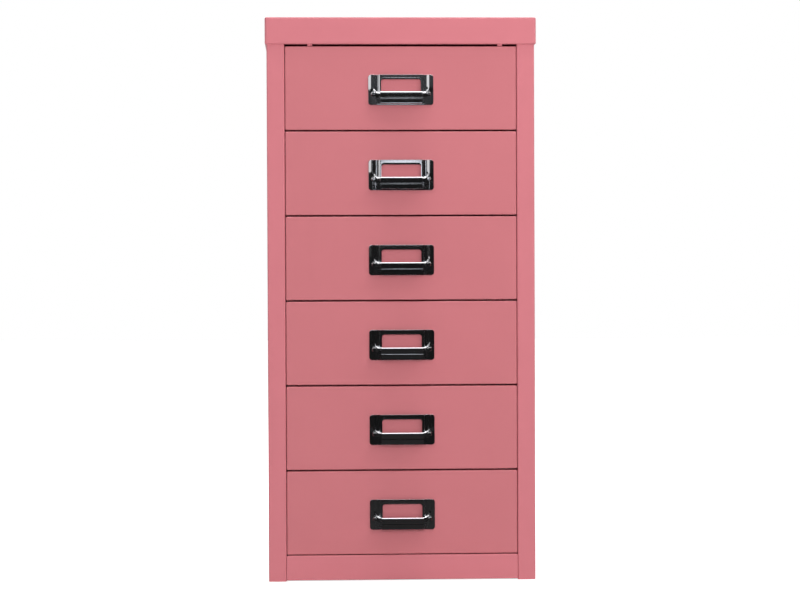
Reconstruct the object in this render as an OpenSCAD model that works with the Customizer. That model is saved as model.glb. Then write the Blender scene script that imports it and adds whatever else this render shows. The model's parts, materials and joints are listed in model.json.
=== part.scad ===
// Small steel drawer cabinet: a folded carcass with a pressed cap, and a column of drawers that hang
// in C-channel runners. Millimetres. +Z is up and the drawers open towards -Y. The origin is the
// centre of the footprint, with the pulls counted, at floor level.

/* [Carcass] */
// Width over the side panels
body_w = 279; // [240:1:340]
// Depth from the drawer faces to the back
body_d = 380; // [340:1:440]
// Thickness of the carcass sheet
sheet_t = 0.9; // [0.7:0.1:1.2]
// Outside radius of the carcass folds
fold_r = 1.6; // [1.4:0.1:2.4]
// Width of the posts that the side panels fold into
post_w = 18.6; // [16:0.2:22]
// Depth of the posts' inner returns
post_return = 20; // [16:1:24]
// Width of the flanges at the top and foot of the side panels
side_flange_w = 14; // [8:1:16]
// Depth of the flanges round the back panel
back_flange = 12; // [8:1:16]
// Depth of the flanges under the bottom panel
floor_flange = 10; // [6:1:14]

/* [Cap] */
// Height of the cap's skirt
cap_h = 28.1; // [20:0.1:40]
// How far the skirt stands proud of the body
cap_over = 1.8; // [1.4:0.1:3]
// Radius of the cap's corners, seen from above
cap_r = 2.6; // [2:0.2:4]
// Gap between the cap and the top drawer
cap_gap = 2; // [1.5:0.1:3]

/* [Rails] */
// Height of the base rail's face
base_rail_h = 26.3; // [20:0.1:40]
// Height of the base rail above the floor
base_rail_lift = 0.9; // [0.5:0.1:2]
// Depth of the folds at the top and bottom of both rails
rail_fold = 14; // [10:1:18]
// Size of the notches in the base rail's top corners
rail_notch = 1.4; // [1:0.1:2]
// Gap between the top rail and the cap's lower edge
top_rail_gap = 0.5; // [0.3:0.1:1]
// Gap between the tabs and the top drawer
tab_gap = 0.4; // [0.2:0.05:0.8]
// Width of the tabs under the top rail
tab_w = 5; // [3:0.5:8]
// Depth of the tabs under the top rail
tab_d = 4; // [2:0.5:8]
// Centre of the left tab from the middle
tab_left = 94.5; // [60:0.5:100]
// Centre of the right tab from the middle
tab_right = 103.5; // [60:0.5:105]

/* [Drawer fronts] */
// Number of drawers
drawer_count = 6; // [2:1:6]
// Height of a drawer front
front_h = 86.9; // [84:0.1:110]
// Depth of a drawer front's folded edges
front_d = 12; // [8:1:14]
// Thickness of the drawer sheet
drawer_t = 0.8; // [0.7:0.1:1]
// Gap between one front and the next
row_gap = 1.6; // [1.2:0.1:3]
// Gap between the lowest front and the base rail
base_gap = 0.8; // [0.6:0.1:3]
// Gap between a front and the posts
side_gap = 0.5; // [0.4:0.1:3]

/* [Trays] */
// Width of a tray's flanges
flange_w = 9.8; // [8:0.2:14]
// Space between a closed tray and the back of the cabinet
tray_rear_gap = 33.2; // [30:0.2:60]
// How far a tray's flanges lie below the top of its front
tray_drop = 12.4; // [9:0.2:20]
// Height of a tray's floor above the lower edge of its front
tray_lift = 2.2; // [1.5:0.1:4]
// Outside radius of the tray's folds
tray_r = 1.5; // [1.2:0.1:3]
// Length of the stop lugs at the tray's rear
lug_l = 3; // [2:0.5:6]

/* [Runners] */
// Thickness of the runner sheet
runner_t = 1; // [0.8:0.1:1.2]
// Height inside the channel
runner_gap = 7; // [6:0.5:8]
// Gap between the tray's wall and the runner's ledge
ledge_gap = 1.5; // [1:0.1:3]
// Gap above and below what slides past a stop or a glide
slide_clear = 0.2; // [0.2:0.05:0.4]
// Gap between the moving stops and the channel
stop_clear = 0.8; // [0.6:0.1:1]
// Distance from the drawer face to the opening stop
stop_setback = 70; // [50:1:120]
// Length of the welding tab at each end of a runner
weld_l = 12; // [8:1:14]
// Length of a glide pad
glide_l = 24; // [16:1:40]
// Distance from the front of the channel to a glide pad
glide_setback = 6; // [2:1:12]
// Metal left on each side of a glide pad
glide_edge = 1; // [0.6:0.1:1.4]
// Height of a glide pad above the ledge
glide_rise = 0.2; // [0.1:0.05:0.3]
// Thickness of a glide pad
glide_t = 2; // [1.6:0.1:3]

/* [Pulls] */
// Width of a pull's plate
pull_w = 68; // [64:0.2:90]
// Height of a pull's plate
pull_h = 31.6; // [31:0.2:36]
// How far a pull stands out from the drawer face
pull_d = 14; // [12:0.5:20]
// How far a pull's centre sits below the middle of the front
pull_drop = 2; // [0:0.1:4]
// Radius of a plate's corners
pull_r = 3; // [1:0.1:5]
// Thickness of a plate at its outer ends
end_t = 1; // [0.6:0.1:1.6]
// Width of the bevel at a plate's outer ends
end_bevel = 1.6; // [0.6:0.1:2]
// Thickness of a pull's ears
ear_t = 2.4; // [2:0.1:3]
// Thickness of the card frame
frame_t = 3.6; // [3.2:0.1:4.4]
// Metal behind the grooves beside the card frame
groove_t = 1.1; // [0.8:0.1:1.6]
// Width of the grooves beside the card frame
groove_w = 4.4; // [3:0.2:5]
// Distance from the card window to the middle of a groove
groove_gap = 5.5; // [5:0.1:6]
// Depth of the card slot behind the frame
card_slot = 1.6; // [1:0.1:1.8]
// How far the card slot reaches past the window at its sides
card_lap = 1.5; // [1:0.1:2]
// How far the card slot reaches below the window
card_tuck = 1; // [0.5:0.1:1.4]
// Width of the card window
window_w = 41.4; // [36:0.2:42]
// Height of the card window
window_h = 13; // [10:0.2:14]
// Metal above the card window
window_top = 4.9; // [4:0.1:6]
// Radius of the window's upper corners
window_r = 2.6; // [1:0.1:4]
// Height from the hood's crest to the card window
window_sill = 0.3; // [0.2:0.1:3]
// Width of the finger hood at the drawer face
hood_w = 53; // [50:0.5:56]
// How far each side of the hood leans in at its crest
hood_lean = 4; // [2:0.5:6]
// How far the hood's apron leans back at its lower edge
apron_lean = 1.2; // [0.5:0.1:2]
// Height of the hood's lower edge above the plate's
hood_lift = 1.3; // [0.3:0.1:2]
// Height of the bar that joins the ears behind the hood's lower edge
foot_h = 3; // [2:0.1:4]
// Thickness of that bar
foot_t = 1.2; // [0.8:0.1:1.6]
// Radius of the hood's nose
nose_r = 2.2; // [1:0.1:2.4]
// Slope of the finger space's roof, down towards the nose
roof_slope = 1; // [0.5:0.1:1.5]
// Wall of the hood's top and apron
hood_wall = 1.8; // [1.4:0.1:2.4]
// Wall of the hood's sides
hood_side_wall = 2.6; // [2:0.1:3]

/* [Screws] */
// Thread diameter of the pull screws
screw_d = 3; // [2.5:0.5:3.5]
// Depth of the thread in the pull
screw_depth = 4; // [3:0.5:5]
// Radial gap between a screw and its hole in the sheet
screw_clear = 0.3; // [0.2:0.05:0.5]
// Diameter of a screw's head
screw_head_d = 5.6; // [5:0.1:6.5]
// Height of a screw's head
screw_head_h = 2.2; // [1.6:0.1:2.6]
// Distance from the side of the finger hood to a screw
screw_out = 2.4; // [0.8:0.1:3]
// Gap between a screw's end and the bottom of its hole
screw_end_gap = 0.5; // [0.3:0.1:1]
// Depth of the cross recess
recess_d = 1.2; // [0.8:0.1:1.4]
// Width of the cross recess
recess_w = 0.7; // [0.5:0.05:1]
// Length of the cross recess
recess_l = 3.1; // [2:0.1:4]
// Metal round a screw in its boss
boss_wall = 1.7; // [1:0.1:2]
// Metal over the end of a screw in its boss
boss_cap = 1.4; // [1:0.1:2]

/* [Hidden] */
$fn = 48;
// How far pieces of one solid sink into each other, and how far a cut runs past a face
eps = 0.01;
cut = 1;

fold_in = fold_r - sheet_t;
open_w = body_w - 2 * post_w;
return_x = open_w / 2;
skin_x = body_w / 2 - sheet_t;
pitch = front_h + row_gap;
first_front_z = base_rail_lift + base_rail_h + base_gap;
cap_z = first_front_z + drawer_count * pitch - row_gap + cap_gap;
total_h = cap_z + cap_h;
body_h = total_h - sheet_t;
face_y = -(body_d + cap_over - pull_d) / 2;

front_w = open_w - 2 * side_gap;
front_r = 1.5 * drawer_t;
flange_x = front_w / 2 - drawer_t - slide_clear;
wall_x = flange_x - flange_w;
tray_y = drawer_t;
tray_end = body_d - tray_rear_gap;
tray_top = front_h - tray_drop;
flange_z = tray_top - drawer_t;

ledge_z = flange_z - slide_clear - glide_rise;
ledge_x = wall_x + ledge_gap;
web_x = return_x + sheet_t;
channel_y = post_return + slide_clear;
channel_end = tray_end + slide_clear + runner_t;
lip_x = ledge_x + ledge_gap;
stop_z = flange_z + drawer_t + stop_clear;
lug_z = ledge_z + runner_gap - stop_clear;
glide_x = ledge_x + glide_edge;
glide_w = flange_x - glide_x - glide_edge;
glide_y = channel_y + glide_setback;

rail_top = base_rail_lift + base_rail_h;
floor_z = rail_top - sheet_t;

pull_z = front_h / 2 - pull_drop;
plate_top = pull_h / 2;
plate_low = -pull_h / 2;
window_high = plate_top - window_top;
window_low = window_high - window_h;
card_x = window_w / 2 + card_lap;
groove_x = window_w / 2 + groove_gap;
crest_z = window_low - window_sill;
crest_x = hood_w / 2 - hood_lean;
nose_y = -pull_d + nose_r;
screw_x = hood_w / 2 + screw_out;
screw_z = crest_z;
boss_r = screw_d / 2 + boss_wall;
boss_d = screw_depth + boss_cap;

drawers = [for (i = [1 : drawer_count]) i];

// Lower edge of drawer i, counted from the top
function front_z(i) = first_front_z + (drawer_count - i) * pitch;

// Everything is drawn with y = 0 at the drawer faces and moved to the footprint's centre here
module placed() {
    translate([0, face_y, 0]) children();
}

// A rectangle from one corner to the other
module rect(low, high) {
    translate(low) square([high[0] - low[0], high[1] - low[1]]);
}

// A rectangle with round corners
module round_rect(low, high, r) {
    rect([low[0] + r, low[1]], [high[0] - r, high[1]]);
    rect([low[0], low[1] + r], [high[0], high[1] - r]);
    for (x = [low[0] + r, high[0] - r], y = [low[1] + r, high[1] - r]) translate([x, y]) circle(r);
}

// A box from one corner to the other
module block(low, high) {
    translate(low) cube(high - low);
}

// An outline drawn in X and Y, run up between two heights
module along_z(from, to) {
    translate([0, 0, from]) linear_extrude(to - from) children();
}

// A profile drawn in Y and Z, run along X between two places
module along_x(from, to) {
    translate([from, 0, 0]) rotate([90, 0, 90]) linear_extrude(to - from) children();
}

// A profile drawn in X and Z, run along Y between two places
module along_y(from, to) {
    translate([0, to, 0]) rotate([90, 0, 0]) linear_extrude(to - from) children();
}

module both_sides() {
    children();
    mirror([1, 0, 0]) children();
}

// Side panel on the right: the skin, the front and rear posts, and flanges at the top and foot
module side_panel() {
    color("#cf7c86") placed() {
        along_z(0, body_h) difference() {
            round_rect([return_x, 0], [body_w / 2, body_d], fold_r);
            round_rect([return_x + sheet_t, sheet_t], [skin_x, body_d - sheet_t], fold_in);
            rect([return_x - eps, post_return], [return_x + sheet_t + eps, body_d - post_return]);
        }
        for (z = [0, body_h - sheet_t])
            block([skin_x - side_flange_w, post_return, z],
                  [skin_x + eps, body_d - post_return, z + sheet_t]);
    }
}

// Back panel: a shallow pan between the rear posts, open towards the front
module back_panel() {
    low = [-return_x, body_d - back_flange, base_rail_lift];
    high = [return_x, body_d, body_h];
    color("#c97882") placed() difference() {
        block(low, high);
        block([low[0] + sheet_t, low[1] - eps, low[2] + sheet_t],
              [high[0] - sheet_t, high[1] - sheet_t, high[2] - sheet_t]);
    }
}

// Bottom panel: under the base rail's upper fold, notched round the four posts and the back panel,
// with its side edges folded down
module bottom_panel() {
    back = body_d - back_flange;
    color("#c97882") placed() {
        along_z(floor_z - sheet_t, floor_z) {
            rect([-return_x, fold_r], [return_x, back]);
            rect([-return_x + sheet_t, fold_r], [return_x - sheet_t, body_d - sheet_t]);
            rect([-skin_x, post_return], [skin_x, body_d - post_return]);
        }
        both_sides() block([skin_x - sheet_t, post_return, floor_z - floor_flange],
                           [skin_x, body_d - post_return, floor_z - eps]);
    }
}

// Base rail: a C section between the posts with its top corners notched
module base_rail() {
    color("#cf7c86") placed() difference() {
        along_x(-return_x, return_x) difference() {
            round_rect([0, base_rail_lift], [rail_fold + fold_r, rail_top], fold_r);
            round_rect([sheet_t, base_rail_lift + sheet_t],
                       [rail_fold + 2 * fold_r, rail_top - sheet_t], fold_in);
            rect([rail_fold, base_rail_lift - cut], [rail_fold + 2 * fold_r, rail_top + cut]);
        }
        both_sides() along_y(-cut, fold_r + cut)
            polygon([[return_x - rail_notch, rail_top + eps], [return_x + eps, rail_top + eps],
                     [return_x + eps, rail_top - rail_notch]]);
    }
}

// Top rail: a C section behind the cap's skirt, with two tabs over the top drawer
module top_rail() {
    low = cap_z + top_rail_gap;
    high = body_h;
    color("#cf7c86") placed() {
        along_x(-return_x, return_x) difference() {
            rect([0, low], [rail_fold, high]);
            rect([sheet_t, low + sheet_t], [rail_fold + cut, high - sheet_t]);
        }
        for (x = [-tab_left, tab_right])
            block([x - tab_w / 2, 0, cap_z - cap_gap + tab_gap], [x + tab_w / 2, tab_d, low + eps]);
    }
}

// Solid outside of the cap, rounded at its corners and edges, shrunk by a wall on every side
module cap_body(wall) {
    low = [-body_w / 2 - cap_over + wall, -cap_over + wall, cap_z + wall];
    high = [body_w / 2 + cap_over - wall, body_d + cap_over - wall, total_h - wall];
    edge_r = cap_over - wall;
    intersection() {
        along_z(low[2], high[2]) round_rect([low[0], low[1]], [high[0], high[1]], cap_r - wall);
        along_x(low[0], high[0]) round_rect([low[1], low[2]], [high[1], high[2]], edge_r);
        along_y(low[1], high[1]) round_rect([low[0], low[2]], [high[0], high[2]], edge_r);
    }
}

// Cap: a pressed lid whose skirt is turned in at its lower edge to meet the body
module top_cap() {
    color("#d2808a") placed() difference() {
        cap_body(0);
        cap_body(sheet_t);
        block([-body_w / 2, 0, cap_z - cut], [body_w / 2, body_d, cap_z + sheet_t + eps]);
    }
}

// Runner on the right: a C channel with a welding tab at each end, an opening stop hanging from
// its upper lip, a closing stop at its rear and a notch in its ledge for the glide
module runner() {
    low = ledge_z - runner_t;
    lip = ledge_z + runner_gap;
    outer = web_x + runner_t;
    color("#b9bcc0") placed() difference() {
        union() {
            along_y(channel_y, channel_end) difference() {
                rect([ledge_x, low], [outer, lip + runner_t]);
                rect([ledge_x - cut, ledge_z], [web_x, lip]);
                rect([ledge_x - cut, lip - cut], [lip_x, lip + runner_t + cut]);
            }
            block([web_x, post_return - weld_l, low],
                  [outer, body_d - post_return + weld_l, lip + runner_t]);
            block([lip_x, stop_setback - runner_t, stop_z], [web_x + eps, stop_setback, lip + eps]);
            block([ledge_x, channel_end - runner_t, ledge_z - eps],
                  [web_x + eps, channel_end, lip + eps]);
        }
        block([glide_x, glide_y, low - cut], [glide_x + glide_w, glide_y + glide_l, ledge_z + eps]);
    }
}

// Glide pad of the right runner, set in the notch of its ledge
module glide() {
    top = ledge_z + glide_rise;
    color("white") placed() block([glide_x, glide_y, top - glide_t],
                                  [glide_x + glide_w, glide_y + glide_l, top]);
}

// Solid body of a drawer front's outside, with rounded folds, shrunk by a wall on every side
module front_body(wall, back) {
    r = front_r - wall;
    x = front_w / 2 - wall;
    beyond = back + 2 * front_r;
    intersection() {
        along_z(wall, front_h - wall) round_rect([-x, wall], [x, beyond], r);
        along_x(-x, x) round_rect([wall, wall], [beyond, front_h - wall], r);
        block([-x, wall, wall], [x, back, front_h - wall]);
    }
}

// Drawer front: a pan folded back on all four edges, drilled for the pull's screws
module drawer_front() {
    color("#d07d87") placed() difference() {
        front_body(0, front_d);
        front_body(drawer_t, front_d + cut);
        screw_holes();
    }
}

// Clearance holes through the two sheets behind the pull
module screw_holes() {
    for (x = [-screw_x, screw_x]) translate([x, -cut, pull_z + screw_z])
        rotate([-90, 0, 0]) cylinder(h = tray_y + drawer_t + 2 * cut, r = screw_d / 2 + screw_clear);
}

// Solid trough with round lower folds, shrunk by a wall on its sides, ends and floor
module trough(wall, top) {
    x = wall_x - wall;
    r = tray_r - wall;
    intersection() {
        along_y(tray_y + wall, tray_end - wall)
            round_rect([-x, tray_lift + wall], [x, top + 2 * tray_r], r);
        along_x(-x, x)
            round_rect([tray_y + wall, tray_lift + wall], [tray_end - wall, top + 2 * tray_r], r);
        block([-x, tray_y + wall, tray_lift + wall], [x, tray_end - wall, top]);
    }
}

// Tray: floor and four walls, flanges that hang in the runners, and a stop lug on each flange
module drawer_tray() {
    color("#c2727c") placed() {
        difference() {
            trough(0, tray_top);
            trough(drawer_t, tray_top + cut);
            screw_holes();
        }
        both_sides() {
            block([wall_x - eps, tray_y, flange_z], [flange_x, tray_end, tray_top]);
            block([lip_x + slide_clear, tray_end - lug_l, tray_top - eps],
                  [flange_x, tray_end, lug_z]);
        }
    }
}

// The two pull screws, driven from inside the tray: pan heads with a cross recess
module pull_screws() {
    head_y = tray_y + drawer_t;
    shank = head_y + screw_depth - screw_end_gap;
    dome_r = 0.75 * screw_head_d;
    color("#c8cacd") placed() for (x = [-screw_x, screw_x])
        translate([x, head_y, pull_z + screw_z]) rotate([-90, 0, 0]) difference() {
            union() {
                translate([0, 0, -shank]) cylinder(h = shank + eps, r = screw_d / 2);
                intersection() {
                    cylinder(h = screw_head_h, r = screw_head_d / 2);
                    translate([0, 0, screw_head_h - dome_r]) sphere(r = dome_r);
                }
            }
            for (a = [0, 90]) rotate([0, 0, a])
                block([-recess_l / 2, -recess_w / 2, screw_head_h - recess_d],
                      [recess_l / 2, recess_w / 2, screw_head_h + cut]);
        }
}

// Plan of a pull's plate: ears, a groove on each side and the raised card frame
module pull_plan() {
    half = pull_w / 2;
    right = [[half, 0], [half, end_t], [half - end_bevel, ear_t], [groove_x + groove_w / 2, ear_t],
             [groove_x, groove_t], [groove_x - groove_w / 2, frame_t]];
    last = len(right) - 1;
    polygon(concat([for (p = right) [p[0], -p[1]]],
                   [for (k = [0 : last]) [-right[last - k][0], -right[last - k][1]]]));
}

// Plan of the finger hood, shrunk by a wall on its sides
module hood_plan(wall, back) {
    polygon([[wall - hood_w / 2, back], [hood_w / 2 - wall, back],
             [crest_x - wall, -pull_d], [wall - crest_x, -pull_d]]);
}

// Section of the finger hood: a sloping top, a round nose and an apron
module hood_section() {
    low = plate_low + hood_lift;
    translate([nose_y, crest_z - nose_r]) circle(nose_r);
    polygon([[0, window_low], [-frame_t, window_low], [nose_y, crest_z], [nose_y, crest_z - nose_r],
             [-pull_d, crest_z - nose_r], [-pull_d + apron_lean, low], [0, low]]);
}

// Section of the space for the fingers, open at the foot, and towards the drawer above the bar
module finger_section() {
    roof = crest_z - hood_wall;
    apron_y = -pull_d + hood_wall + apron_lean / 2;
    polygon([[cut, roof], [nose_y, roof - roof_slope], [apron_y, roof - roof_slope - nose_r],
             [apron_y + apron_lean / 2, plate_low - cut], [-foot_t, plate_low - cut],
             [-foot_t, plate_low + foot_h], [cut, plate_low + foot_h]]);
}

// Pull: plate, card frame open at the top, finger hood open below with a bar behind its foot, and a
// boss for each screw
module drawer_pull() {
    color("#9fa3a8") placed() translate([0, 0, pull_z]) difference() {
        union() {
            intersection() {
                along_z(plate_low, plate_top) pull_plan();
                along_y(-frame_t - cut, eps)
                    round_rect([-pull_w / 2, plate_low], [pull_w / 2, plate_top], pull_r);
            }
            intersection() {
                along_x(-hood_w / 2, hood_w / 2) hood_section();
                along_z(plate_low, plate_top) hood_plan(0, eps);
            }
            for (x = [-screw_x, screw_x]) translate([x, -boss_d, screw_z])
                rotate([-90, 0, 0]) cylinder(h = boss_d, r = boss_r);
        }
        intersection() {
            along_x(-hood_w / 2, hood_w / 2) finger_section();
            along_z(plate_low - 2 * cut, plate_top) hood_plan(hood_side_wall, 2 * cut);
        }
        // card slot, open at the top, and the window in front of it
        block([-card_x, -card_slot, window_low - card_tuck], [card_x, cut, plate_top + cut]);
        along_y(-frame_t - cut, cut) {
            rect([-window_w / 2, window_low], [window_w / 2, window_high - window_r]);
            round_rect([-window_w / 2, window_high - 2 * window_r - cut],
                       [window_w / 2, window_high], window_r);
        }
        // blind holes for the screws
        for (x = [-screw_x, screw_x]) translate([x, -screw_depth, screw_z])
            rotate([-90, 0, 0]) cylinder(h = screw_depth + cut, r = screw_d / 2);
    }
}

top_cap();
mirror([1, 0, 0]) side_panel();  // side_panel_left
side_panel();  // side_panel_right
back_panel();
bottom_panel();
top_rail();
base_rail();
for (i = drawers) translate([0, 0, front_z(i)]) both_sides() glide();  // runner_glides
for (i = drawers) translate([0, 0, front_z(i)]) {
    mirror([1, 0, 0]) runner();
    runner();
    drawer_front();
    drawer_tray();
    drawer_pull();
    pull_screws();
}
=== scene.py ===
"""Small steel drawer cabinet: its painted sheet, its chrome pulls and the studio."""

import json
import math

import bmesh
import bpy
from bpy.props import FloatProperty, FloatVectorProperty, PointerProperty
from bpy.types import Operator, Panel, PropertyGroup
from mathutils import Matrix, Vector


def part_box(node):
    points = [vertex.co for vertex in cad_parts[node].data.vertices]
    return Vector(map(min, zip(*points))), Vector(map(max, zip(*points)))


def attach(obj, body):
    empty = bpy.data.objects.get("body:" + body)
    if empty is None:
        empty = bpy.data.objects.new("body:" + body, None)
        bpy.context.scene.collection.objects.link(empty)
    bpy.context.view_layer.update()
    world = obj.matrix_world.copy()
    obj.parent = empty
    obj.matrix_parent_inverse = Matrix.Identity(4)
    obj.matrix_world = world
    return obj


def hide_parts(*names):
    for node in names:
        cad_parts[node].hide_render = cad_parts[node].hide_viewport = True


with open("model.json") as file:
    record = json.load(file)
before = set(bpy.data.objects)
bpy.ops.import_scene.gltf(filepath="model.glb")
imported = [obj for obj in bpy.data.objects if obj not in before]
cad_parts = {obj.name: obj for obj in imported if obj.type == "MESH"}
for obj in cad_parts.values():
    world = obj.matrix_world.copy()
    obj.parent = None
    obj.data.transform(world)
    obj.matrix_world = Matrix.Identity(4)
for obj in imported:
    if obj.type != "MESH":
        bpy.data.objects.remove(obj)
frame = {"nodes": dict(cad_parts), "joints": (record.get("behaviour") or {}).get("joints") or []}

bl_info = {
    "name": "Small drawer cabinet",
    "version": (1, 0, 0),
    "blender": (4, 5, 0),
    "location": "3D View > Sidebar > Cabinet",
    "description": "Builds a painted sheet-steel drawer cabinet with chrome card-frame pulls",
    "category": "Add Mesh",
}

MM = 0.001
SAME_PLACE = 1e-6  # metres; vertices nearer than this to a plane lie in it
DRAWERS = [joint["child"].split("_")[-1] for joint in frame["joints"]]


def linear(code):
    """Turns an sRGB hex colour into linear red, green and blue."""
    channels = (int(code[k:k + 2], 16) / 255 for k in (0, 2, 4))
    return tuple(c / 12.92 if c <= 0.04045 else ((c + 0.055) / 1.055) ** 2.4 for c in channels)


def length(name, description, millimetres):
    """A length that the panel shows in the scene's unit."""
    return FloatProperty(name=name, description=description, default=millimetres * MM, min=0.0,
                         precision=5, unit="LENGTH")


def colour(name, description, code):
    """A paint or metal colour, given as sRGB hex."""
    return FloatVectorProperty(name=name, description=description, default=linear(code), min=0.0,
                               max=1.0, subtype="COLOR")


class CabinetSizes(PropertyGroup):
    """Sheet and folds of the carcass and the drawers"""
    sheet: length("Carcass sheet", "Thickness of the carcass sheet", 0.9)
    fold: length("Carcass fold", "Outside radius of the carcass folds", 1.6)
    post_return: length("Post return", "Depth of the posts' inner returns", 20)
    side_flange: length("Side flange", "Width of the flanges at the top and foot of a side", 14)
    cap_corner: length("Cap corner", "Radius of the cap's corners, seen from above", 2.6)
    cap_edge: length("Cap edge", "Radius of the cap's edges and of its hem", 1.75)
    notch: length("Rail notch", "Size of the notches in the base rail's top corners", 1.4)
    seam: length("Seam", "Gap at each end of the base rail", 0.12)
    drawer_sheet: length("Drawer sheet", "Thickness of the drawer sheet", 0.8)
    drawer_fold: length("Drawer fold", "Outside radius of the drawer fronts' folds", 1.2)
    cut_edge: length("Cut edge", "Rounding that the paint gives to cut edges", 0.2)


class PullSizes(PropertyGroup):
    """Form of a card-frame pull; its width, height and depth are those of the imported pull"""
    corner: length("Corner", "Radius of the plate's corners", 3)
    window_width: length("Window width", "Width of the card window", 41.4)
    window_height: length("Window height", "Height of the card window", 13)
    window_top: length("Window top", "Metal above the card window", 4.9)
    window_corner: length("Window corner", "Radius of the window's upper corners", 2.6)
    frame_height: length("Frame height", "How far the card frame stands out", 3.6)
    frame_crown: length("Frame crown", "How far the middle of a bar stands over its edges", 0.012)
    bar_middle: length("Bar middle", "Distance from the window to the middle of a bar", 2.2)
    bar_half: length("Bar half", "Half the width of a bar", 2.0)
    top_bevel: length("Top bevel", "Depth of the bevel under the frame's top bar", 0.45)
    top_bevel_width: length("Top bevel width", "Height of that bevel", 1.1)
    frame_side: length("Frame side", "Distance from the middle to the frame's outer sides", 23.1)
    side_bevel: length("Side bevel", "Depth of the bevels along those sides", 0.48)
    side_bevel_width: length("Side bevel width", "Width of those bevels", 1.2)
    frame_fall: length("Frame fall", "Width in which the frame falls to its grooves", 1.1)
    groove_height: length("Groove height", "Metal behind the grooves beside the frame", 1.1)
    groove_middle: length("Groove middle", "Distance from the middle to a groove's middle", 25.6)
    groove_half: length("Groove half", "Half the width of a groove", 1.5)
    groove_hollow: length("Groove hollow", "How far a groove's middle lies below its edges", 0.1)
    bead_height: length("Bead height", "How far the beads on the ears stand out", 2.6)
    bead_out: length("Bead distance", "Distance from the middle to the top of a bead", 30.0)
    bead_in: length("Bead inside", "Width in which a bead falls to its groove", 3.0)
    bead_fall: length("Bead outside", "Width in which a bead falls to the plate's end", 4.2)
    ear_height: length("Ear height", "Thickness of the ears at their edges", 1.2)
    ear_crown: length("Ear crown", "How far the middle of an ear stands over its edges", 0.9)
    sweep: length("Sweep", "Radius in which a bead turns into the hood's crest", 7.6)
    sweep_round: length("Sweep rounding", "Radius of the ridge in that turn", 0.4)
    fillet: length("Fillet", "Width filled in the corner between two surfaces", 0.3)
    stud: length("Stud", "Radius of the stud over each screw", 2.8)
    stud_out: length("Stud distance", "Distance from the middle to a stud", 28.9)
    stud_drop: length("Stud drop", "Distance from the plate's top to the middle of a stud", 20.2)
    stud_height: length("Stud height", "How far a stud stands out", 4.3)
    nose: length("Nose", "Radius of the hood's nose", 1.7)
    hood_flat: length("Hood flat", "Half width of the hood's flat apron", 21.8)
    hood_side: length("Hood side", "Width in which the apron falls to the ears", 3.3)
    hood_lift: length("Hood lift", "Height of the hood's foot above the plate's", 1.3)
    hood_rise: length("Hood rise", "Width of the upright from the window's sill to the hood", 0.05)
    sweep_rise: length("Sweep rise", "Width added to that upright inside the sweeps", 0.9)
    sweep_ease: length("Sweep ease", "Width in which it is added", 1.5)
    apron_lean: length("Apron lean", "How far the apron leans back", 1.4)
    lip: length("Lip", "Height of the upright lip at the apron's foot", 0.5)
    step_drop: length("Step drop", "Distance from the crest to the step across the apron", 4.896)
    step_width: length("Step width", "Height in which the apron steps out", 1.224)
    step: length("Step", "How far the apron steps out", 0.3)
    foot_height: length("Foot height", "Height of the bar behind the hood's foot", 3.0)
    foot_thick: length("Foot thickness", "Thickness of that bar", 1.2)
    wall: length("Wall", "Thickness of the hood", 1.8)
    slot_depth: length("Slot depth", "Depth of the card slot behind the frame", 1.6)
    slot_lap: length("Slot lap", "How far the card slot reaches past the window's sides", 1.5)
    slot_foot: length("Slot foot", "How far the card slot reaches below the window", 1.0)
    hollow_ease: length("Hollow ease", "Height in which the hood's hollow begins", 1.2)
    edge: length("Edge", "Rounding of the plate's edges", 0.2)


class Finishes(PropertyGroup):
    """Colours of the finishes"""
    # painted light: the carcass paint is made a little lighter than the drawer paint, standing in for
    # the posts catching more light than the drawer fronts
    carcass: colour("Carcass paint", "Powder coat of the carcass", "D77F88")
    drawer: colour("Drawer paint", "Powder coat of the drawers", "CF7A81")
    chrome: colour("Chrome", "Chrome plate of the pulls", "D4D6D8")
    zinc: colour("Zinc", "Zinc plate of the runners and screws", "BFC3C6")
    nylon: colour("Nylon", "Moulded nylon of the glides", "E9E7DF")
    floor: colour("Floor", "Floor of the studio", "F4F4F3")


class Studio(PropertyGroup):
    """Camera and lamps"""
    camera: FloatVectorProperty(name="Camera", description="Place of the camera", subtype="XYZ",
                                unit="LENGTH", default=(-0.0960, -2.4837, 0.3323))
    turn: FloatVectorProperty(name="Turn", description="Pitch, roll and yaw of the camera",
                              subtype="EULER",
                              default=[math.radians(a) for a in (89.028, -0.224, -2.349)])
    lens: FloatProperty(name="Lens", description="Focal length in millimetres", default=99.34)
    sky: FloatProperty(name="Sky", description="Strength of the light from all round", default=0.10)
    front: FloatProperty(name="Front box", description="Power in watts", default=20.6)
    overhead: FloatProperty(name="Overhead box", description="Power in watts", default=6.6)
    key: FloatProperty(name="Key lamp", description="Power in watts", default=4.0)
    rear: FloatProperty(name="Rear boxes", description="Power in watts of each", default=24.0)
    strip: FloatProperty(name="Fold strip", description="Power in watts", default=8.0)
    left: FloatProperty(name="Left box", description="Power in watts", default=1.1)
    right: FloatProperty(name="Right box", description="Power in watts", default=2.5)


# ---------------------------------------------------------------- finishes


def add_node(tree, kind, sockets=None, **settings):
    """Adds a node. Settings go to the node, and each socket named takes a value or a link."""
    node = tree.nodes.new("ShaderNode" + kind)
    for name, value in settings.items():
        setattr(node, name, value)
    for name, value in (sockets or {}).items():
        if isinstance(value, bpy.types.NodeSocket):
            tree.links.new(value, node.inputs[name])
        else:
            node.inputs[name].default_value = value
    return node


def new_finish(name):
    """An empty material, its node tree, its shader and its place on the piece."""
    material = bpy.data.materials.new(name)
    material.use_nodes = True
    tree = material.node_tree
    return material, tree, tree.nodes["Principled BSDF"], add_node(tree, "TexCoord").outputs["Object"]


def noise(tree, place, size, detail=2.0):
    """Noise whose marks are about this many metres across."""
    marks = add_node(tree, "TexNoise", {"Vector": place, "Scale": 1 / size, "Detail": detail})
    return marks.outputs["Fac"]


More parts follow.
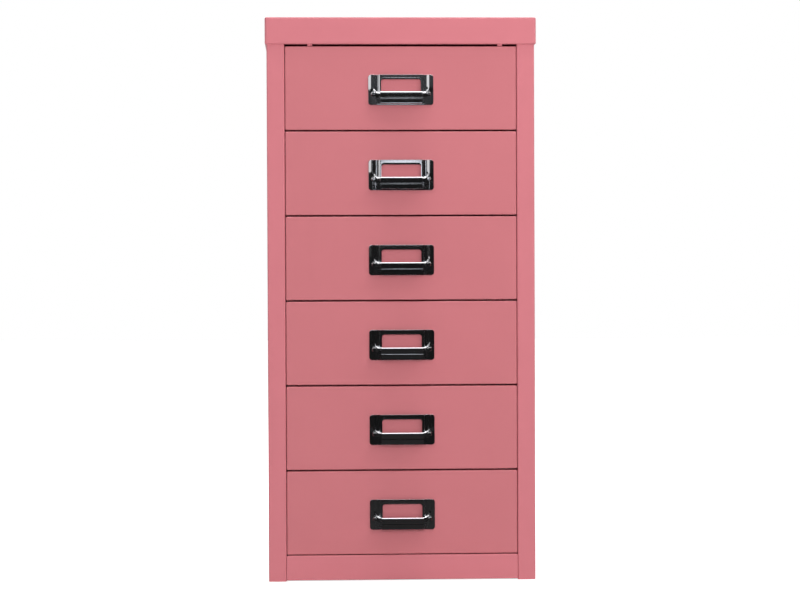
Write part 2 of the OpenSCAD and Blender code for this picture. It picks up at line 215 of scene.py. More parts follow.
def spread(tree, value, low, high):
    """Turns noise round 0.5 into a value between low and high."""
    return add_node(tree, "MapRange", {"Value": value, "From Min": 0.3, "From Max": 0.7,
                                       "To Min": low, "To Max": high}).outputs["Result"]


def powder_coat(name, rgb):
    """Polyester powder coat, sprayed on steel and baked."""
    # An even satin pink. The melted powder leaves an orange peel about 2 mm across, the film is a
    # little thicker here and there, and its gloss varies softly over some centimetres.
    material, tree, shader, place = new_finish(name)
    tone = spread(tree, noise(tree, place, 0.07, 3.0), 0.985, 1.015)
    tinted = add_node(tree, "VectorMath", {0: rgb, "Scale": tone}, operation="SCALE").outputs["Vector"]
    tree.links.new(tinted, shader.inputs["Base Color"])
    tree.links.new(spread(tree, noise(tree, place, 0.03, 3.0), 0.29, 0.35), shader.inputs["Roughness"])
    shader.inputs["IOR"].default_value = 1.49
    peel = add_node(tree, "Bump", {"Height": noise(tree, place, 0.0022, 1.0), "Strength": 0.35,
                                   "Distance": 0.00006}).outputs["Normal"]
    grain = add_node(tree, "Bump", {"Height": noise(tree, place, 0.0006, 1.0), "Strength": 0.25,
                                    "Distance": 0.00002, "Normal": peel}).outputs["Normal"]
    tree.links.new(grain, shader.inputs["Normal"])
    return material


def chrome_plate(rgb):
    """Bright chrome over nickel on a zinc casting."""
    # A mirror with a slight bluish tone. The polished casting under it leaves reflections that
    # waver over about 5 mm, and handling leaves a faint haze in patches.
    material, tree, shader, place = new_finish("chrome_plate")
    shader.inputs["Base Color"].default_value = (*rgb, 1)
    shader.inputs["Metallic"].default_value = 1
    haze = spread(tree, noise(tree, place, 0.009, 3.0), 0.035, 0.09)
    tree.links.new(haze, shader.inputs["Roughness"])
    waver = add_node(tree, "Bump", {"Height": noise(tree, place, 0.005, 1.0), "Strength": 0.4,
                                    "Distance": 0.00012}).outputs["Normal"]
    tree.links.new(waver, shader.inputs["Normal"])
    return material


def zinc_plate(name, rgb, streak):
    """Electroplated zinc on cold-rolled steel."""
    # A soft grey sheen, drawn out along the rolling direction in streaks about 1 mm wide, with a
    # cloudy passivated film.
    material, tree, shader, place = new_finish(name)
    along = add_node(tree, "Mapping", {"Vector": place, "Scale": streak}).outputs["Vector"]
    streaks = noise(tree, along, 0.001, 3.0)
    cloud = noise(tree, place, 0.012, 3.0)
    tone = spread(tree, cloud, 0.88, 1.05)
    tinted = add_node(tree, "VectorMath", {0: rgb, "Scale": tone}, operation="SCALE").outputs["Vector"]
    tree.links.new(tinted, shader.inputs["Base Color"])
    shader.inputs["Metallic"].default_value = 1
    tree.links.new(spread(tree, streaks, 0.26, 0.44), shader.inputs["Roughness"])
    lines = add_node(tree, "Bump", {"Height": streaks, "Strength": 0.3, "Distance": 0.00002})
    tree.links.new(lines.outputs["Normal"], shader.inputs["Normal"])
    return material


def moulded_nylon(rgb):
    """Injection-moulded nylon, unpainted."""
    # Milky and slightly waxy, with the fine spark-eroded grain of the mould.
    material, tree, shader, place = new_finish("moulded_nylon")
    tone = spread(tree, noise(tree, place, 0.004, 2.0), 0.95, 1.03)
    tinted = add_node(tree, "VectorMath", {0: rgb, "Scale": tone}, operation="SCALE").outputs["Vector"]
    tree.links.new(tinted, shader.inputs["Base Color"])
    shader.inputs["Roughness"].default_value = 0.48
    shader.inputs["IOR"].default_value = 1.53
    grain = add_node(tree, "Bump", {"Height": noise(tree, place, 0.0004, 1.0), "Strength": 0.4,
                                    "Distance": 0.00002})
    tree.links.new(grain.outputs["Normal"], shader.inputs["Normal"])
    return material


def finish(name):
    """The finish of this name, made on its first use."""
    if name in bpy.data.materials:
        return bpy.data.materials[name]
    colours = bpy.context.scene.cabinet_finishes
    makers = {
        "powder_coat_carcass": lambda: powder_coat(name, tuple(colours.carcass)),
        "powder_coat_drawer": lambda: powder_coat(name, tuple(colours.drawer)),
        "chrome_plate": lambda: chrome_plate(tuple(colours.chrome)),
        "zinc_plate": lambda: zinc_plate(name, tuple(colours.zinc), (1, 0.04, 1)),
        "zinc_plate_screw": lambda: zinc_plate(name, tuple(colours.zinc), (1, 1, 1)),
        "moulded_nylon": lambda: moulded_nylon(tuple(colours.nylon)),
    }
    return makers[name]()


# ---------------------------------------------------------------- making pieces


def is_vert(item):
    return isinstance(item, bmesh.types.BMVert)


def round_edges(bm, edges, radius, segments=5):
    """Rounds edges with an arc of this radius."""
    bmesh.ops.bevel(bm, geom=edges, offset=radius, offset_type="OFFSET", affect="EDGES",
                    segments=segments, profile=0.5, material=-1, clamp_overlap=True)


def box_mesh(low, high):
    """A bmesh box from one corner to the other."""
    bm = bmesh.new()
    size = high - low
    bmesh.ops.create_cube(bm, size=1, matrix=Matrix.LocRotScale((low + high) / 2, None, size))
    return bm


def edges_along(bm, axis):
    """The straight edges that run along X, Y or Z (0, 1 or 2)."""
    return [e for e in bm.edges if abs((e.verts[1].co - e.verts[0].co).normalized()[axis]) > 0.999]


def edges_at(bm, axis, place):
    """The edges that lie in a plane across X, Y or Z."""
    return [e for e in bm.edges if all(abs(v.co[axis] - place) < SAME_PLACE for v in e.verts)]


def with_parts(faces):
    """Faces with their vertices and edges, each once and in a fixed order."""
    return list(dict.fromkeys(part for f in faces for part in (f, *f.verts, *f.edges)))


def remove_face_at(bm, axis, place):
    """Opens a box by deleting its face in a plane across X, Y or Z."""
    faces = [f for f in bm.faces if all(abs(v.co[axis] - place) < SAME_PLACE for v in f.verts)]
    bmesh.ops.delete(bm, geom=faces, context="FACES")


def place_piece(name, bm, material, body, slot, *nodes, sheet=0.0, cut_edge=0.0, sharp=35):
    """Makes the piece that stands for CAD nodes: gives sheet its wall, rounds cut edges, and rides."""
    mesh = bpy.data.meshes.new(name)
    bm.to_mesh(mesh)
    bm.free()
    mesh.shade_smooth()
    mesh.set_sharp_from_angle(angle=math.radians(sharp))
    mesh.materials.append(finish(material))
    piece = bpy.data.objects.new(name, mesh)
    bpy.context.scene.collection.objects.link(piece)
    if sheet:
        wall = piece.modifiers.new("wall", "SOLIDIFY")
        wall.thickness = sheet
        wall.offset = -1
        wall.use_even_offset = True
    if cut_edge:
        soften(piece, cut_edge)
    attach(piece, body)
    if nodes:
        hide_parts(*nodes)
    return piece


def soften(piece, width):
    """Rounds sharp edges a little, and keeps flat faces flat to the eye."""
    bevel = piece.modifiers.new("soft edges", "BEVEL")
    bevel.width = width
    bevel.segments = 2
    bevel.limit_method = "ANGLE"
    bevel.angle_limit = math.radians(50)
    bevel.use_clamp_overlap = True
    piece.modifiers.new("flat faces", "WEIGHTED_NORMAL").keep_sharp = True


def dress_node(name, material, width):
    """Gives a CAD node its finish and soft edges; its own mesh stays as it is."""
    node = frame["nodes"][name]
    if not node.material_slots:
        raise RuntimeError(f"{name} has no material slot")
    for slot in node.material_slots:
        slot.material = finish(material)
    weld = node.modifiers.new("weld", "WELD")
    weld.merge_threshold = 0.000002
    flat = node.modifiers.new("flat", "DECIMATE")
    flat.decimate_type = "DISSOLVE"
    flat.angle_limit = math.radians(0.5)
    soften(node, width)


def turned_outwards(bm, inside):
    """Turns faces away from a point inside the piece."""
    bmesh.ops.recalc_face_normals(bm, faces=bm.faces[:])
    face = max(bm.faces, key=lambda f: f.calc_area())
    if face.normal.dot(face.calc_center_median() - inside) < 0:
        bmesh.ops.reverse_faces(bm, faces=bm.faces[:])


def folded_line(points, low, high, radius):
    """An open line of points in X and Y, run up in Z, with its folds rounded."""
    bm = bmesh.new()
    verts = [bm.verts.new((x, y, low)) for x, y in points]
    edges = [bm.edges.new(pair) for pair in zip(verts, verts[1:])]
    top = [v for v in bmesh.ops.extrude_edge_only(bm, edges=edges)["geom"] if is_vert(v)]
    bmesh.ops.translate(bm, verts=top, vec=(0, 0, high - low))
    round_edges(bm, [e for e in bm.edges if len(e.link_faces) == 2], radius)
    return bm


# ---------------------------------------------------------------- carcass


class CABINET_OT_cap(Operator):
    """Pressed cap: a lid with a skirt that is hemmed under at its foot"""
    bl_idname = "cabinet.cap"
    bl_label = "Cap"

    def execute(self, context):
        sizes = context.scene.cabinet_sizes
        low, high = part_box("top_cap")
        bm = box_mesh(low, high)
        round_edges(bm, edges_along(bm, 2), sizes.cap_corner, 6)
        round_edges(bm, edges_at(bm, 2, high.z) + edges_at(bm, 2, low.z), sizes.cap_edge)
        remove_face_at(bm, 2, low.z)
        turned_outwards(bm, (low + high) / 2)
        place_piece("cap_shell", bm, "powder_coat_carcass", "cabinet", "painted_carcass", "top_cap",
                    sheet=sizes.sheet, cut_edge=sizes.cut_edge)
        return {"FINISHED"}


class CABINET_OT_sides(Operator):
    """Side panels, each folded into a front and a rear post and flanged at its top and foot"""
    bl_idname = "cabinet.sides"
    bl_label = "Side panels"

    def execute(self, context):
        sizes = context.scene.cabinet_sizes
        low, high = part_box("side_panel_right")
        front, back = low.y + sizes.post_return, high.y - sizes.post_return
        for side, sign in (("right", 1), ("left", -1)):
            points = [(low.x, front), (low.x, low.y), (high.x, low.y),
                      (high.x, high.y), (low.x, high.y), (low.x, back)]
            bm = folded_line(points, low.z, high.z, sizes.fold)
            for y in (front, back):
                skin = [f for f in bm.faces if all(abs(v.co.x - high.x) < SAME_PLACE for v in f.verts)]
                bmesh.ops.bisect_plane(bm, geom=with_parts(skin), plane_co=(0, y, 0),
                                       plane_no=(0, 1, 0))
            ends = [e for z in (low.z, high.z) for e in edges_at(bm, 2, z)
                    if abs(e.verts[0].co.x - high.x) < SAME_PLACE
                    and front - SAME_PLACE < min(v.co.y for v in e.verts)
                    and max(v.co.y for v in e.verts) < back + SAME_PLACE]
            fresh = bmesh.ops.extrude_edge_only(bm, edges=ends)["geom"]
            bmesh.ops.translate(bm, verts=[v for v in fresh if is_vert(v)],
                                vec=(-sizes.side_flange - sizes.sheet, 0, 0))
            turned_outwards(bm, (low + high) / 2)
            if sign < 0:
                bmesh.ops.scale(bm, verts=bm.verts[:], vec=(-1, 1, 1))
                bmesh.ops.reverse_faces(bm, faces=bm.faces[:])
            place_piece(f"side_{side}_shell", bm, "powder_coat_carcass", "cabinet", "painted_carcass",
                        f"side_panel_{side}", sheet=sizes.sheet, cut_edge=sizes.cut_edge)
        return {"FINISHED"}


class CABINET_OT_back(Operator):
    """Back panel: a shallow pan between the rear posts"""
    bl_idname = "cabinet.back"
    bl_label = "Back panel"

    def execute(self, context):
        sizes = context.scene.cabinet_sizes
        low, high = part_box("back_panel")
        bm = box_mesh(low, high)
        remove_face_at(bm, 1, low.y)
        round_edges(bm, edges_along(bm, 1) + edges_at(bm, 1, high.y), sizes.fold)
        turned_outwards(bm, (low + high) / 2)
        place_piece("back_shell", bm, "powder_coat_carcass", "cabinet", "painted_carcass",
                    "back_panel", sheet=sizes.sheet, cut_edge=sizes.cut_edge)
        return {"FINISHED"}


class CABINET_OT_base_rail(Operator):
    """Base rail: a C section between the posts, with its top corners notched"""
    bl_idname = "cabinet.base_rail"
    bl_label = "Base rail"

    def execute(self, context):
        sizes = context.scene.cabinet_sizes
        low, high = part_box("base_rail")
        points = [(low.z, high.y), (low.z, low.y), (high.z, low.y), (high.z, high.y)]
        bm = folded_line(points, low.x + sizes.seam, high.x - sizes.seam, sizes.fold)
        # the line was drawn in Z and Y and run along X, so its axes are put back in order
        bmesh.ops.transform(bm, verts=bm.verts[:],
                            matrix=Matrix(((0, 0, 1, 0), (0, 1, 0, 0), (1, 0, 0, 0), (0, 0, 0, 1))))
        for sign in (-1, 1):
            near = [f for f in bm.faces if f.calc_center_median().y < low.y + sizes.fold]
            corner = Vector((sign * (high.x - sizes.seam), low.y, high.z - sizes.notch))
            bmesh.ops.bisect_plane(bm, geom=with_parts(near), plane_co=corner,
                                   plane_no=(sign, 0, 1), clear_outer=True)
        turned_outwards(bm, (low + high) / 2)
        place_piece("base_rail_shell", bm, "powder_coat_carcass", "cabinet", "painted_carcass",
                    "base_rail", sheet=sizes.sheet, cut_edge=sizes.cut_edge)
        return {"FINISHED"}


class CABINET_OT_inner_parts(Operator):
    """Finishes of the floor, the top rail, the runners, the glides, the trays and the screws"""
    bl_idname = "cabinet.inner_parts"
    bl_label = "Inner parts"

    def execute(self, context):
        width = context.scene.cabinet_sizes.cut_edge
        for name in ("bottom_panel", "top_rail"):
            dress_node(name, "powder_coat_carcass", width)
        dress_node("runner_glides", "moulded_nylon", width)
        for k in DRAWERS:
            for side in ("left", "right"):
                dress_node(f"runner_{side}_{k}", "zinc_plate", width)
            dress_node(f"drawer_tray_{k}", "powder_coat_drawer", width)
            dress_node(f"pull_screws_{k}", "zinc_plate_screw", width / 2)
        return {"FINISHED"}


# ---------------------------------------------------------------- drawers


class CABINET_OT_drawer_fronts(Operator):
    """Drawer fronts: pans folded back on all four edges"""
    bl_idname = "cabinet.drawer_fronts"
    bl_label = "Drawer fronts"

    def execute(self, context):
        sizes = context.scene.cabinet_sizes
        for k in DRAWERS:
            low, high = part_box(f"drawer_front_{k}")
            bm = box_mesh(low, high)
            remove_face_at(bm, 1, high.y)
            round_edges(bm, edges_along(bm, 1) + edges_at(bm, 1, low.y), sizes.drawer_fold)
            turned_outwards(bm, (low + high) / 2)
            place_piece(f"front_{k}_shell", bm, "powder_coat_drawer", f"drawer_{k}", "painted_drawer",
                        f"drawer_front_{k}", sheet=sizes.drawer_sheet, cut_edge=sizes.cut_edge)
        return {"FINISHED"}


# ---------------------------------------------------------------- pulls


def held(t):
    """Holds t between 0 and 1."""
    return min(max(t, 0.0), 1.0)


def ease(t):
    """Eases from 0 to 1 as t does."""
    t = held(t)
    return t * t * (3 - 2 * t)


def flank(t, top=0.22):
    """Height of a ridge with straight sides: 1 on its rounded top, 0 where t is 1."""
    t = held(t)
    return 1 - (math.hypot(t, top) - top) / (math.hypot(1, top) - top)


def ramp(t, bend=0.2):
    """Climbs from 0 to 1 as t does: straight, with a bend at each end."""
    t = held(t)
    if min(t, 1 - t) > bend:
        return (t - bend / 2) / (1 - bend)
    low = min(t, 1 - t) ** 2 / (2 * bend * (1 - bend))
    return low if t < 0.5 else 1 - low


def arc(t):
    """Height of a quarter circle: 1 where t is 0, upright where t is 1."""
    return math.sqrt(1 - held(t) ** 2)


def blended(x, y, mix):
    """The larger of two heights, with the corner between them filled."""
    return (x + y + math.hypot(x - y, mix)) / 2


def rounded_gap(x, y, half_x, half_y, radius):
    """Distance from a rectangle with round corners, negative inside it."""
    out_x, out_y = abs(x) - half_x + radius, abs(y) - half_y + radius
    return math.hypot(max(out_x, 0), max(out_y, 0)) + min(max(out_x, out_y), 0) - radius


class PullForm:
    """Heights of a pull's front and back, at a across from its middle and v down from its top."""

    def __init__(self, sizes, low, high):
        self.s = sizes
        self.width, self.depth, self.height = high - low
        self.sill = sizes.window_top + sizes.window_height
        self.crest = self.sill + sizes.nose
        self.foot = self.height - sizes.hood_lift
        self.side = sizes.hood_flat + sizes.hood_side
        self.turn_a = sizes.bead_out - sizes.sweep
        self.turn_v = self.crest - sizes.sweep

    def window_gap(self, a, v):
        """Distance from the card window, whose lower corners are square."""
        s = self.s
        middle = s.window_top + s.window_height / 2
        radius = s.window_corner if v < middle else 0.0
        return rounded_gap(a, v - middle, s.window_width / 2, s.window_height / 2, radius)

    def frame_level(self, a, v):
        """Card frame, bevelled under its top bar and along its sides, and the groove beside it."""
        s = self.s
        gap = self.window_gap(a, v)
        level = s.frame_height - s.frame_crown * ((gap - s.bar_middle) / s.bar_half) ** 2
        under = held((s.window_width / 2 - a) / s.window_corner)
        level -= s.top_bevel * under * held(1 - gap / s.top_bevel_width)
        level -= s.side_bevel * held(1 - (s.frame_side - a) / s.side_bevel_width)
        across = (min(a, s.groove_middle + s.groove_half) - s.groove_middle) / s.groove_half
        groove = s.groove_height + s.groove_hollow * across ** 2
        return groove + (level - groove) * (1 - ramp((a - s.frame_side) / s.frame_fall))

    def ear_level(self, a):
        """Ears, with a low ridge along their middle."""
        s = self.s
        middle = (self.side + self.width / 2) / 2
        return s.ear_height + s.ear_crown * flank(abs(a - middle) / (self.width / 2 - middle))

    def apron(self, v):
        """Front of the hood below its crest: it leans back, with a low step across its middle."""
        s = self.s
        drop = v - self.crest
        lean = s.apron_lean * held(drop / (self.foot - self.crest - s.lip))
        return self.depth - lean + s.step * ramp((drop - s.step_drop) / s.step_width)

    def hood_level(self, a, v):
        """Front of the hood and of the ears beside it."""
        ear = self.ear_level(a)
        fall = held((a - self.s.hood_flat) / self.s.hood_side)
        return self.apron(v) + (ear - self.apron(v)) * fall

    def front(self, a, v):
        """How far the front stands out."""
        s = self.s
        a = abs(a)
        if v < self.turn_v:
            beyond, ridge_a, turn = a - s.bead_out, s.bead_out, 0.0
        elif a < self.turn_a:
            beyond, ridge_a, turn = v - self.crest, a, 1.0
        else:
            angle = math.atan2(v - self.turn_v, a - self.turn_a)
            beyond = math.hypot(a - self.turn_a, v - self.turn_v) - s.sweep
            ridge_a, turn = self.turn_a + s.sweep * math.cos(angle), angle / (math.pi / 2)
        ridge = blended(s.bead_height, self.hood_level(ridge_a, self.crest), s.fillet)
        if beyond < 0:
            # the bead's inner flank narrows to a sharp ridge as it turns, and widens to the nose
            base = self.frame_level(a, v)
            reach = (s.bead_in - (s.bead_in - s.sweep_round) * ease(turn / 0.55)
                     + (s.nose - s.sweep_round) * ease((turn - 0.75) / 0.25))
            top = min(ridge - base, reach)
            if -beyond <= reach:
                straight, curved = flank(-beyond / reach), arc(-beyond / reach)
                level = ridge - top * (1 - straight + (straight - curved) * ease(turn / 0.4))
            else:
                rise = s.hood_rise + s.sweep_rise * ease((a - self.turn_a) / s.sweep_ease)
                level = base + (ridge - base - top) * held(1 - (-beyond - reach) / rise)
        else:
            bead = s.ear_height + (ridge - s.ear_height) * flank(beyond / s.bead_fall)
            level = blended(self.hood_level(a, v), bead, 0.0004 * ease(beyond / 0.001))
        # a stud's flat top takes a little over half its radius, and its side falls from there
        out = math.hypot(a - s.stud_out, v - s.stud_drop) / s.stud
        if out < 1:
            raised = s.stud_height * (1 - ease((out - 0.58) / 0.42))
            level = blended(level, raised, s.fillet * (1 - out))
        inside = -rounded_gap(a, v - self.height / 2, self.width / 2, self.height / 2, s.corner)
        edge = min(s.edge, 0.6 * level)
        if inside < edge:
            level -= edge * (1 - arc(1 - max(inside, 0) / edge))
        return min(level, self.depth)

    def back(self, a, v):
        """How far the back is hollowed: the card slot and the space for the fingers."""
        s = self.s
        a = abs(a)
        if v < self.sill + s.slot_foot:
            return s.slot_depth if a < s.window_width / 2 + s.slot_lap else 0.0
        share = (ease((v - self.crest) / s.hollow_ease)
                 * (1 - ramp((a - s.hood_flat + s.wall) / s.hood_side)))
        return max(0.0, min(self.front(a, v) - s.wall, self.depth - s.wall)) * share

    def columns(self):
        """Distances from the middle at which the plate is divided."""
        s = self.s
        half, window = self.width / 2, s.window_width / 2
        slot = window + s.slot_lap
        return divided([(0, 0.003), (0.018, 0.0009), (window, 0.0003), (s.hood_flat, 0.0002),
                        (slot - 0.00002, 0.00004), (slot + 0.00002, 0.00025), (self.side, 0.0002),
                        (s.bead_out, 0.0002), (half - s.edge, 0.0001), (half, 0)])

    def rows(self):
        """Distances from the top at which the plate is divided."""
        s = self.s
        return divided([(0, 0.0001), (s.edge, 0.0003), (s.corner, 0.0006), (s.window_top, 0.0005),
                        (s.window_top + s.window_corner, 0.0008), (self.turn_v, 0.0003),
                        (self.sill - 0.0003, 0.0003), (self.sill, 0.00005),
                        (self.sill + 0.0001, 0.0001), (self.sill + 0.0003, 0.00025),
                        (self.crest, 0.00025), (s.stud_drop + s.stud, 0.0004),
                        (self.foot, 0.0003), (self.height - s.edge, 0.0001), (self.height, 0)])


def divided(stops):
    """Places from the first stop to the last; past each stop they are at most its step apart."""
    places = [stops[0][0]]
    for (start, step), (end, _) in zip(stops, stops[1:]):
        count = max(1, math.ceil((end - start) / step - 1e-9))
        places += [start + (end - start) * k / count for k in range(1, count + 1)]
    return places


def cut_round(bm, centre, radius, sign_x, sign_y, keep):
    """Cuts a corner of the plate along an arc; what lies outside the arc goes unless it is kept."""
    steps = 6
    reach = radius * 1.6
    for k in range(steps):
        angle = (k + 0.5) / steps * math.pi / 2
        away = Vector((sign_x * math.cos(angle), sign_y * math.sin(angle), 0))
        square = []
        for face in bm.faces:
            out = face.calc_center_median() - centre
            if out.x * sign_x > 0 and out.y * sign_y > 0 and out.length < reach:
                square.append(face)
        bmesh.ops.bisect_plane(bm, geom=with_parts(square), plane_co=centre + away * radius,
                               plane_no=away, clear_outer=not keep)


def pull_mesh(sizes, low, high):
    """One pull: a plate divided into a grid, cut to its outline, given two skins and raised."""
    form = PullForm(sizes, low, high)
    across, rows = form.columns(), form.rows()
    columns = [-a for a in reversed(across[1:])] + across
    bm = bmesh.new()
    bmesh.ops.create_grid(bm, x_segments=len(columns) - 1, y_segments=len(rows) - 1, size=1)
    for vert in bm.verts:
        x = columns[round((vert.co.x + 1) / 2 * (len(columns) - 1))]
        y = rows[round((vert.co.y + 1) / 2 * (len(rows) - 1))]
        vert.co = (x, y, 0)
    half, corner = form.width / 2 - sizes.corner, sizes.corner
    for sign in (-1, 1):
        for y, down in ((corner, -1), (form.height - corner, 1)):
            cut_round(bm, Vector((sign * half, y, 0)), corner, sign, down, False)
        cut_round(bm, Vector((sign * (sizes.window_width / 2 - sizes.window_corner),
                              sizes.window_top + sizes.window_corner, 0)),
                  sizes.window_corner, sign, -1, True)
    window = [f for f in bm.faces
              if form.window_gap(f.calc_center_median().x, f.calc_center_median().y) < 0.00001
              or (abs(f.calc_center_median().x) < form.side and f.calc_center_median().y > form.foot)]
    bmesh.ops.delete(bm, geom=window, context="FACES")
    fresh = bmesh.ops.extrude_face_region(bm, geom=bm.faces[:], use_keep_orig=True)["geom"]
    skin = {v for v in fresh if is_vert(v)}
    for vert in bm.verts:
        height = form.front if vert in skin else form.back
        vert.co.z = height(vert.co.x, vert.co.y)
    bmesh.ops.recalc_face_normals(bm, faces=bm.faces[:])
    # the bar that joins the ears behind the hood's foot
    foot = box_mesh(Vector((-form.side, form.height - sizes.foot_height, 0)),
                    Vector((form.side, form.height, sizes.foot_thick)))
    round_edges(foot, [e for e in edges_along(foot, 0)
                       if min(v.co.z for v in e.verts) > 0], sizes.edge, 3)
    bar = bpy.data.meshes.new("foot_bar")
    foot.to_mesh(bar)
    foot.free()
    bm.from_mesh(bar)
    bpy.data.meshes.remove(bar)
    # the plate was drawn lying down with its top at 0: it is stood up with its back on the drawer
    stand = Matrix(((1, 0, 0, 0), (0, 0, -1, high.y), (0, -1, 0, high.z), (0, 0, 0, 1)))
    bmesh.ops.transform(bm, verts=bm.verts[:], matrix=stand)
    return bm


class CABINET_OT_pulls(Operator):
    """Card-frame pulls: one form, repeated on each drawer"""
    bl_idname = "cabinet.pulls"
    bl_label = "Pulls"

    def execute(self, context):
        sizes = context.scene.cabinet_pull
        low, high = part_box(f"drawer_pull_{DRAWERS[0]}")
        first = pull_mesh(sizes, low, high)
        for k in DRAWERS:
            bm = first.copy()
            bmesh.ops.translate(bm, verts=bm.verts[:], vec=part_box(f"drawer_pull_{k}")[0] - low)
            place_piece(f"pull_{k}_casting", bm, "chrome_plate", f"drawer_{k}", "chrome_plate",
                        f"drawer_pull_{k}", sharp=50)
        first.free()
        return {"FINISHED"}


# ---------------------------------------------------------------- studio


def staged(name, bm, material):
    """A sheet of the studio, not part of the cabinet."""
    mesh = bpy.data.meshes.new(name)
    bm.to_mesh(mesh)
    bm.free()
    mesh.materials.append(material)
    sheet = bpy.data.objects.new(name, mesh)
    bpy.context.scene.collection.objects.link(sheet)
    return sheet


def lamp(name, place, target, size, watts, in_gloss=True):
    """A soft box that faces a point; gloss and polished metal can be kept from showing it."""
    data = bpy.data.lights.new(name, "AREA")
    data.shape = "RECTANGLE"
    data.size, data.size_y = size
    data.energy = watts
    box = bpy.data.objects.new(name, data)
    box.location = place
    box.rotation_euler = (Vector(place) - Vector(target)).to_track_quat("Z", "Y").to_euler()
    box.visible_glossy = in_gloss
    bpy.context.scene.collection.objects.link(box)


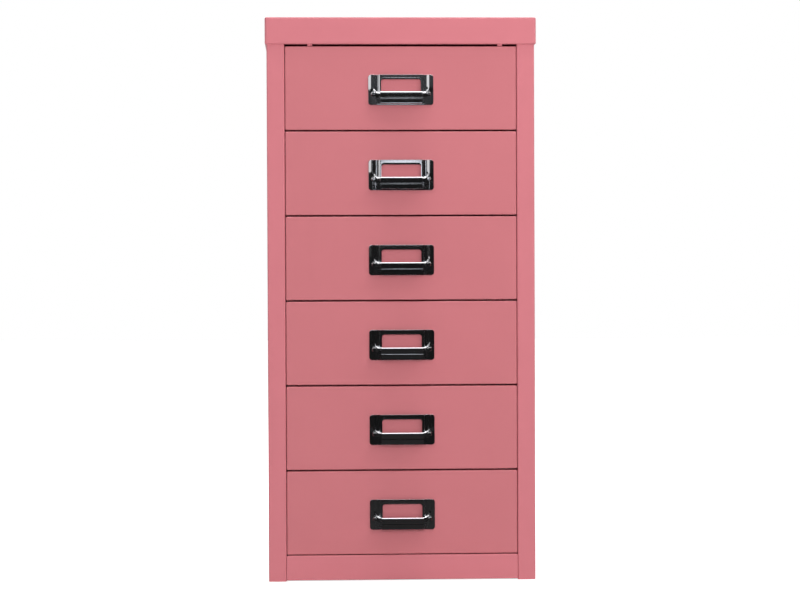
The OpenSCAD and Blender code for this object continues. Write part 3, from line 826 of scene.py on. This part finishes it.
class CABINET_OT_studio(Operator):
    """White floor and surround, soft boxes, dark cards that paint reflections into the chrome, and the
    camera
    """
    bl_idname = "cabinet.studio"
    bl_label = "Studio"

    def execute(self, context):
        scene = context.scene
        studio = scene.cabinet_studio
        scene.view_settings.view_transform = "Standard"

        world = bpy.data.worlds.new("white_surround")
        world.use_nodes = True
        scene.world = world
        tree = world.node_tree
        path = add_node(tree, "LightPath").outputs
        seen = add_node(tree, "Math", {0: path["Is Camera Ray"], 1: path["Is Glossy Ray"]},
                        operation="MAXIMUM").outputs[0]
        seen = add_node(tree, "Math", {0: seen, 1: path["Is Transmission Ray"]},
                        operation="MAXIMUM").outputs[0]
        strength = add_node(tree, "MapRange", {"Value": seen, "To Min": studio.sky, "To Max": 1.0})
        tree.links.new(strength.outputs["Result"], tree.nodes["Background"].inputs["Strength"])
        tree.nodes["Background"].inputs["Color"].default_value = (1, 1, 1, 1)

        # matt white floor; what the camera sees of it is lifted to white by a glow, which is weaker
        # round the cabinet and so paints the floor a little darker there: painted shade round the real
        # soft shadow, which it keeps
        material, tree, shader, place = new_finish("matt_white_floor")
        shade = spread(tree, noise(tree, place, 0.15), 0.985, 1.0)
        tint = tuple(scene.cabinet_finishes.floor)
        toned = add_node(tree, "VectorMath", {0: tint, "Scale": shade}, operation="SCALE")
        tree.links.new(toned.outputs["Vector"], shader.inputs["Base Color"])
        shader.inputs["Roughness"].default_value = 0.9
        shader.inputs["Emission Color"].default_value = (1, 1, 1, 1)
        path = add_node(tree, "LightPath").outputs
        away = add_node(tree, "VectorMath", {0: place}, operation="LENGTH").outputs["Value"]
        # painted shade: the glow is weaker near the cabinet than far from it
        white = add_node(tree, "MapRange", {"Value": away, "From Min": 0.45, "From Max": 1.3,
                                            "To Min": 0.78, "To Max": 0.93}).outputs["Result"]
        lift = add_node(tree, "Math", {0: path["Is Camera Ray"], 1: white}, operation="MULTIPLY")
        tree.links.new(lift.outputs[0], shader.inputs["Emission Strength"])
        bm = bmesh.new()
        bmesh.ops.create_grid(bm, x_segments=1, y_segments=1, size=7,
                              matrix=Matrix.Translation((0, 0, -0.0003)))
        staged("floor", bm, material)

        # dark cards round the front, glowing faintly and paler towards their rim, with a light band in
        # the middle of the front one: painted reflections that only gloss and polished metal see,
        # which darken the chrome and the paint's gloss towards the front and draw a pale band in the
        # pulls' frames
        material, tree, shader, place = new_finish("dark_cards")
        place = add_node(tree, "SeparateXYZ", {"Vector": place}).outputs
        rise = add_node(tree, "MapRange", {"Value": place["Z"], "From Min": 0.52, "From Max": 0.62,
                                           "To Min": 0.003, "To Max": 0.05},
                        interpolation_type="SMOOTHSTEP")
        across = add_node(tree, "Math", {0: place["X"], 1: 0.04, 2: 0.036},
                          operation="COMPARE").outputs[0]
        band = add_node(tree, "Math", {0: place["Z"], 1: 0.485, 2: 0.045},
                        operation="COMPARE").outputs[0]
        band = add_node(tree, "Math", {0: across, 1: band}, operation="MULTIPLY").outputs[0]
        # the glow of the painted reflections: the light band over the faint rise towards the rim
        glow = add_node(tree, "Math", {0: band, 1: 1.5, 2: rise.outputs["Result"]},
                        operation="MULTIPLY_ADD").outputs[0]
        shader.inputs["Base Color"].default_value = (0, 0, 0, 1)
        shader.inputs["Roughness"].default_value = 1
        shader.inputs["Emission Color"].default_value = (*linear("E6ECF5"), 1)
        tree.links.new(glow, shader.inputs["Emission Strength"])
        low, high = Vector((-0.95, -1.12, 0.001)), Vector((0.95, -0.185, 0.95))
        bm = box_mesh(low, high)
        remove_face_at(bm, 2, high.z)
        remove_face_at(bm, 1, high.y)
        cards = staged("dark_cards", bm, material)
        cards.visible_camera = cards.visible_diffuse = cards.visible_shadow = False
        cards.visible_transmission = cards.visible_volume_scatter = False

        # most light comes from beside the camera; only the overhead box, the key lamp and the left box
        # show in the gloss and the chrome, and the rear boxes light the back and the sides
        aim = (0, -0.18, 0.42)
        lamp("front_box", (-0.10, -2.60, 0.75), aim, (0.9, 0.5), studio.front, in_gloss=False)
        lamp("overhead_box", (0.15, -0.50, 1.90), aim, (1.2, 0.6), studio.overhead)
        lamp("key_lamp", (0.90, -0.80, 1.35), aim, (0.5, 0.5), studio.key)
        lamp("left_box", (-0.84, -0.89, 0.78), (0, -0.18, 0.78), (0.60, 0.72), studio.left)
        lamp("right_box", (0.70, -1.06, 0.77), (0, -0.18, 0.77), (0.46, 0.80), studio.right,
             in_gloss=False)
        for side, x in (("left", -1.8), ("right", 1.8)):
            lamp(f"rear_{side}_box", (x, 1.8, 1.2), (0, 0, 0.30), (1.0, 1.0), studio.rear,
                 in_gloss=False)
        lamp("fold_strip", (0, -0.35, 1.90), aim, (1.4, 0.25), studio.strip, in_gloss=False)

        data = bpy.data.cameras.new("camera")
        data.lens = studio.lens
        data.sensor_width = 36
        camera = bpy.data.objects.new("camera", data)
        pitch, roll, yaw = studio.turn
        camera.matrix_world = (Matrix.Translation(studio.camera) @ Matrix.Rotation(yaw, 4, "Z")
                               @ Matrix.Rotation(pitch, 4, "X") @ Matrix.Rotation(roll, 4, "Z"))
        scene.collection.objects.link(camera)
        scene.camera = camera
        return {"FINISHED"}


class CABINET_PT_panel(Panel):
    """Lists the steps in the order in which they run"""
    bl_idname = "CABINET_PT_panel"
    bl_label = "Drawer cabinet"
    bl_space_type = "VIEW_3D"
    bl_region_type = "UI"
    bl_category = "Cabinet"

    def draw(self, context):
        for step in STEPS:
            self.layout.operator(step.bl_idname)
        for group in GROUPS:
            column = self.layout.column()
            values = getattr(context.scene, group)
            for name in values.bl_rna.properties.keys():
                if name not in ("name", "rna_type"):
                    column.prop(values, name)


STEPS = (CABINET_OT_studio, CABINET_OT_cap, CABINET_OT_sides, CABINET_OT_back, CABINET_OT_base_rail,
         CABINET_OT_inner_parts, CABINET_OT_drawer_fronts, CABINET_OT_pulls)
GROUPS = {"cabinet_sizes": CabinetSizes, "cabinet_pull": PullSizes, "cabinet_finishes": Finishes,
          "cabinet_studio": Studio}


def register():
    for item in (*GROUPS.values(), *STEPS, CABINET_PT_panel):
        bpy.utils.register_class(item)
    for name, group in GROUPS.items():
        setattr(bpy.types.Scene, name, PointerProperty(type=group))


def unregister():
    for name in GROUPS:
        delattr(bpy.types.Scene, name)
    for item in reversed((*GROUPS.values(), *STEPS, CABINET_PT_panel)):
        bpy.utils.unregister_class(item)


def main():
    """Builds everything in order."""
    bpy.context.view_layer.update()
    register()
    for step in STEPS:
        group, name = step.bl_idname.split(".")
        if getattr(getattr(bpy.ops, group), name)() != {"FINISHED"}:
            raise RuntimeError(f"{step.bl_idname} didn't finish")
    bpy.context.view_layer.update()


if __name__ == "__main__":
    main()
